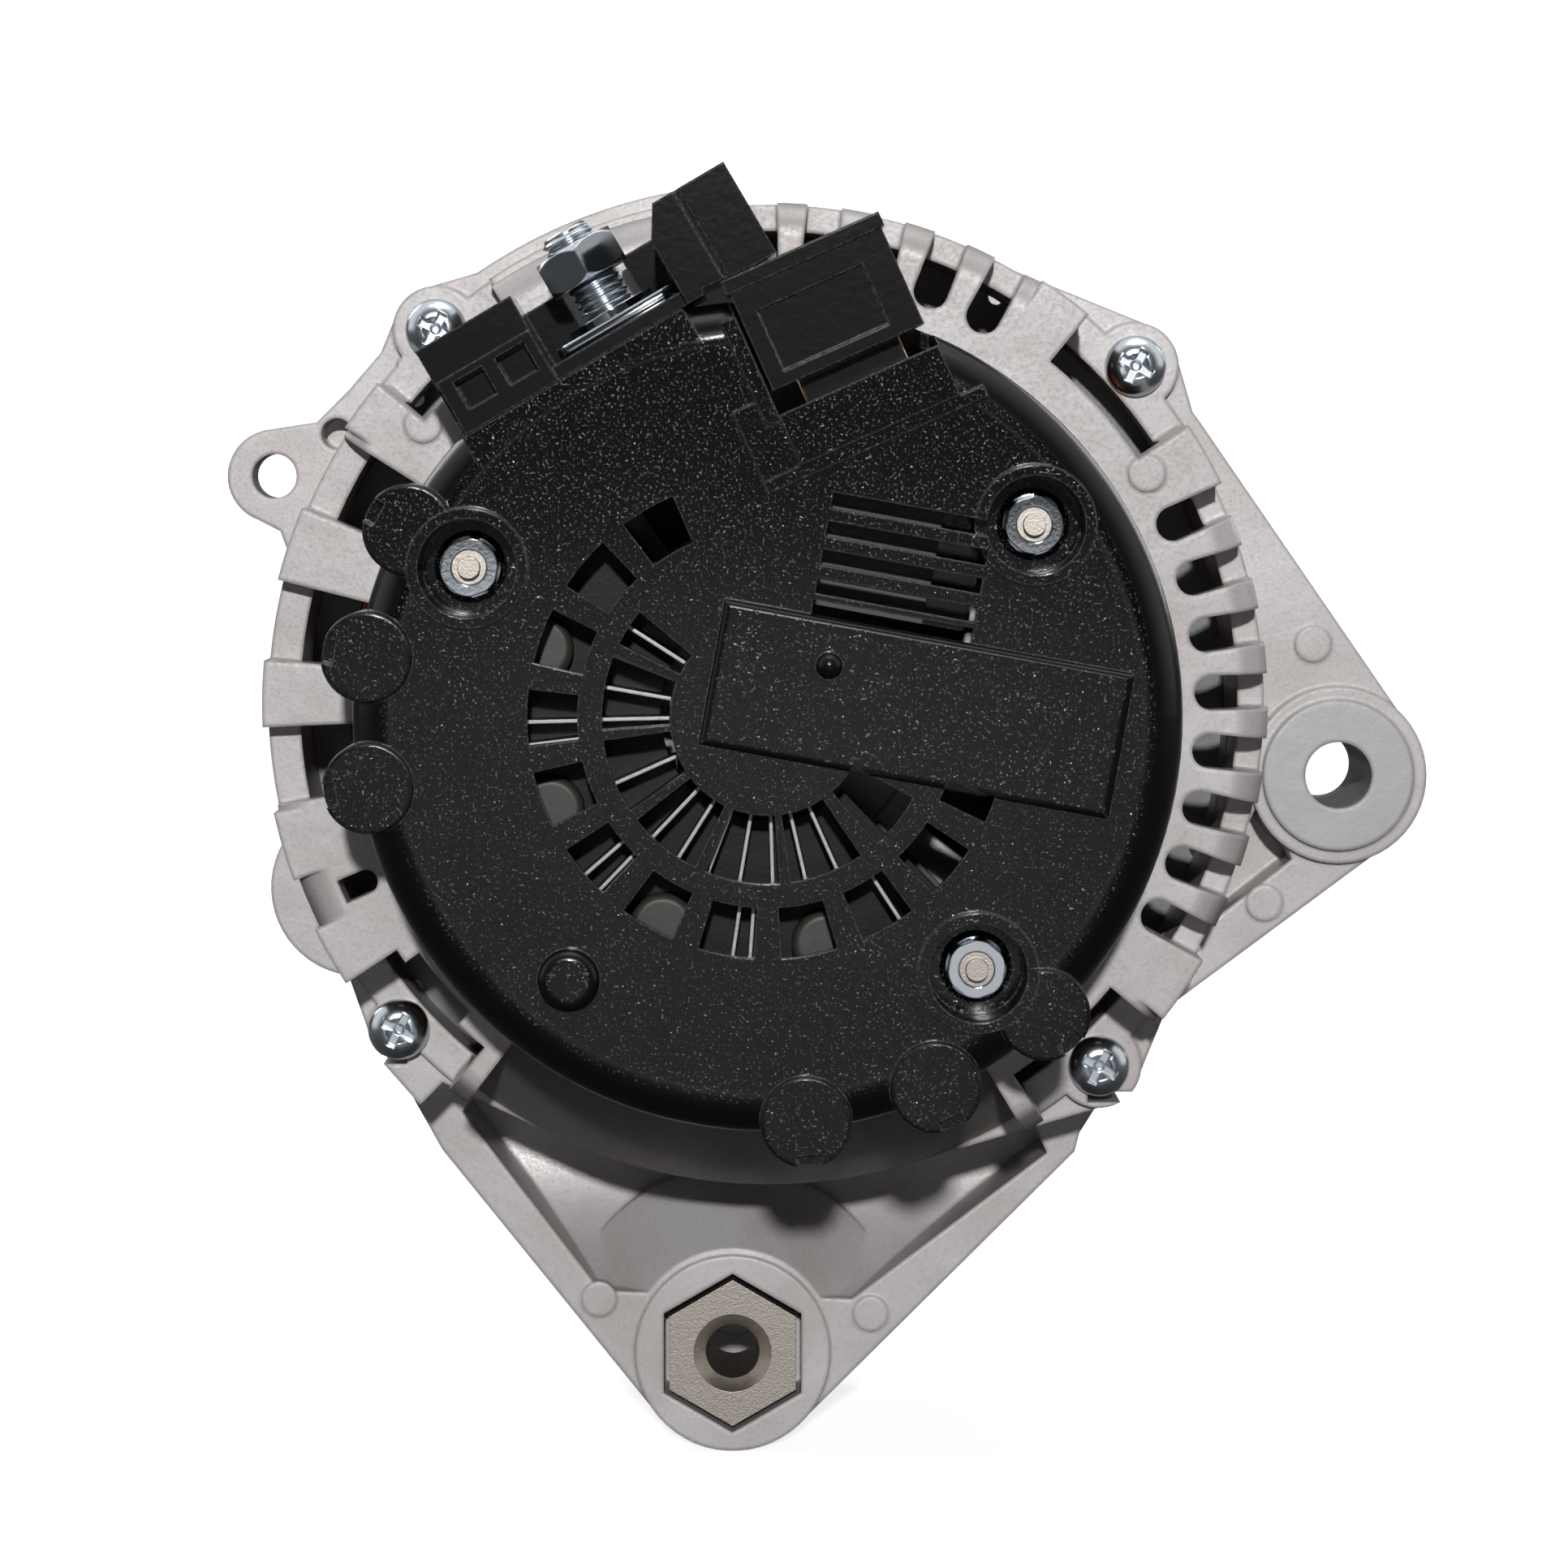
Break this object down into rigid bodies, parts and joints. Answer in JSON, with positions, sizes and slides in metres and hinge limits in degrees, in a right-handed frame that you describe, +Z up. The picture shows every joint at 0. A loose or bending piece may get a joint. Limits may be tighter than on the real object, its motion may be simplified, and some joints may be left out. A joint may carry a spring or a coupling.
{
  "type": "car alternator",
  "caption": "Car alternator with a black rear cover, cast brackets, claw-pole rotor, stator, ribbed pulley, output stud, plug socket and bored mounting lugs.",
  "frame": {"origin": "on the shaft's axis, in the middle of the pulley's belt track", "axes": "+Y along the shaft from the rear cover towards the pulley, +Z up away from the pivot arm, +X to the right seen from the rear, towards the upper lug"},
  "size_m": [0.1842, 0.1897, 0.1998],
  "materials": {
    "black_plastic": "fine stipple",
    "black_moulding": "smooth",
    "brown_plastic": "smooth",
    "cast_aluminium": "tumbled casting",
    "sheet_aluminium": "rolled",
    "dull_aluminium": "oxidised",
    "zinc_steel": "zinc plated",
    "plain_steel": "machined",
    "bearing_steel": "polished",
    "black_steel": "phosphated",
    "core_steel": "varnished laminations",
    "copper_wire": "enamelled",
    "ring_copper": "turned",
    "carbon": "pressed carbon",
    "liner_paper": "insulating paper",
    "grease_cage": "pressed"
  },
  "bodies": {
    "housing": {"rear_cover": "black_plastic", "cover_studs": "plain_steel", "cover_nuts": "zinc_steel", "terminal_block": "black_moulding", "b_plus_stud": "zinc_steel", "b_plus_washer": "zinc_steel", "regulator_connector": "black_moulding", "connector_pins": "ring_copper", "regulator_module": "black_moulding", "regulator_heatsink": "dull_aluminium", "rectifier_plus_plate": "sheet_aluminium", "rectifier_minus_plate": "dull_aluminium", "plus_diodes": "dull_aluminium", "minus_diodes": "dull_aluminium", "rectifier_terminal_ring": "brown_plastic", "brush_holder": "black_moulding", "brush_spring_positive": "plain_steel", "brush_spring_negative": "plain_steel", "rear_bracket": "cast_aluminium", "front_bracket": "cast_aluminium", "through_bolts": "zinc_steel", "bearing_retainer_plate": "zinc_steel", "retainer_screws": "zinc_steel", "stator_core": "core_steel", "stator_winding": "copper_wire", "slot_liners": "liner_paper", "stator_leads": "copper_wire", "rear_bearing_outer_race": "bearing_steel", "front_bearing_outer_race": "bearing_steel"},
    "rotor": {"rotor_shaft": "plain_steel", "rear_pole_claw": "core_steel", "front_pole_claw": "core_steel", "coil_bobbin": "brown_plastic", "field_coil": "copper_wire", "rear_fan": "black_steel", "front_fan": "black_steel", "slip_rings": "ring_copper", "slip_ring_insulator": "brown_plastic", "rear_bearing_inner_race": "bearing_steel", "front_bearing_inner_race": "bearing_steel", "front_spacer": "plain_steel", "pulley": "black_steel", "pulley_nut": "zinc_steel"},
    "rear_bearing_cage_set": {"rear_bearing_balls": "bearing_steel", "rear_bearing_cage": "grease_cage"},
    "front_bearing_cage_set": {"front_bearing_balls": "bearing_steel", "front_bearing_cage": "grease_cage"},
    "positive_brush": {"brush_positive": "carbon"},
    "negative_brush": {"brush_negative": "carbon"},
    "pivot_sleeve": {"pivot_sleeve": "plain_steel"},
    "output_nut": {"b_plus_nut": "zinc_steel"}
  },
  "joints": [
    {"name": "rotor_spin", "type": "hinge", "parent": "housing", "child": "rotor", "pos_m": [0, 0, 0], "axis": [0, 1, 0], "continuous": true},
    {"name": "rear_cage_spin", "type": "hinge", "parent": "housing", "child": "rear_bearing_cage_set", "pos_m": [0, -0.122, 0], "axis": [0, 1, 0], "continuous": true},
    {"name": "front_cage_spin", "type": "hinge", "parent": "housing", "child": "front_bearing_cage_set", "pos_m": [0, -0.027, 0], "axis": [0, 1, 0], "continuous": true},
    {"name": "positive_brush_slide", "type": "slide", "parent": "housing", "child": "positive_brush", "axis": [0.9836, 0, -0.1805], "range_m": [0, 0.006], "deforming": ["brush_spring_positive"]},
    {"name": "negative_brush_slide", "type": "slide", "parent": "housing", "child": "negative_brush", "axis": [0.9836, 0, -0.1805], "range_m": [0, 0.006], "deforming": ["brush_spring_negative"]},
    {"name": "pivot_sleeve_slide", "type": "slide", "parent": "housing", "child": "pivot_sleeve", "axis": [0, 1, 0], "range_m": [0, 0.003]},
    {"name": "output_nut_travel", "type": "slide", "parent": "housing", "child": "output_nut", "axis": [-0.5075, 0, 0.8616], "range_m": [-0.005, 0.01]}
  ],
  "couplings": [
    {"joint": "rear_cage_spin", "follows": "rotor_spin", "ratio": 0.38462},
    {"joint": "front_cage_spin", "follows": "rotor_spin", "ratio": 0.35156}
  ]
}
